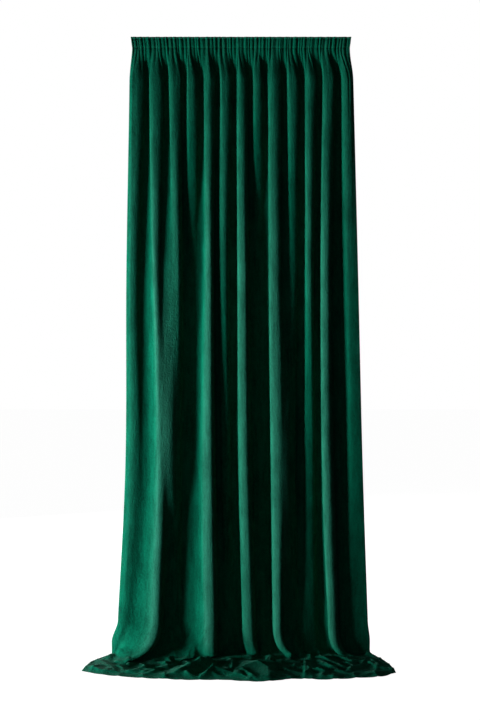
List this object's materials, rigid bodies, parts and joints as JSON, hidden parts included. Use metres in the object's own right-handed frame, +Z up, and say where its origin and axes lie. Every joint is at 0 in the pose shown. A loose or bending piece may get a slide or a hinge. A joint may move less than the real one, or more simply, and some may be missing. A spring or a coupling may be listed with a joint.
{
  "type": "velvet curtain",
  "caption": "Gathered velvet curtain panel on a pencil-pleat heading tape, hanging in deep uneven folds and pooling on the floor.",
  "frame": {"origin": "middle of the heading's top edge, in the cloth's mean plane", "axes": "+X to the right seen from the room, +Y to the wall behind, +Z up"},
  "size_m": [1.2052, 0.3682, 2.5001],
  "materials": {
    "velvet": "deep pile velvet, soft sheen at grazing angles",
    "tape": "matt woven heading tape"
  },
  "bodies": {
    "root": {"curtain_panel": "velvet", "heading_tape": "tape"}
  },
  "joints": []
}
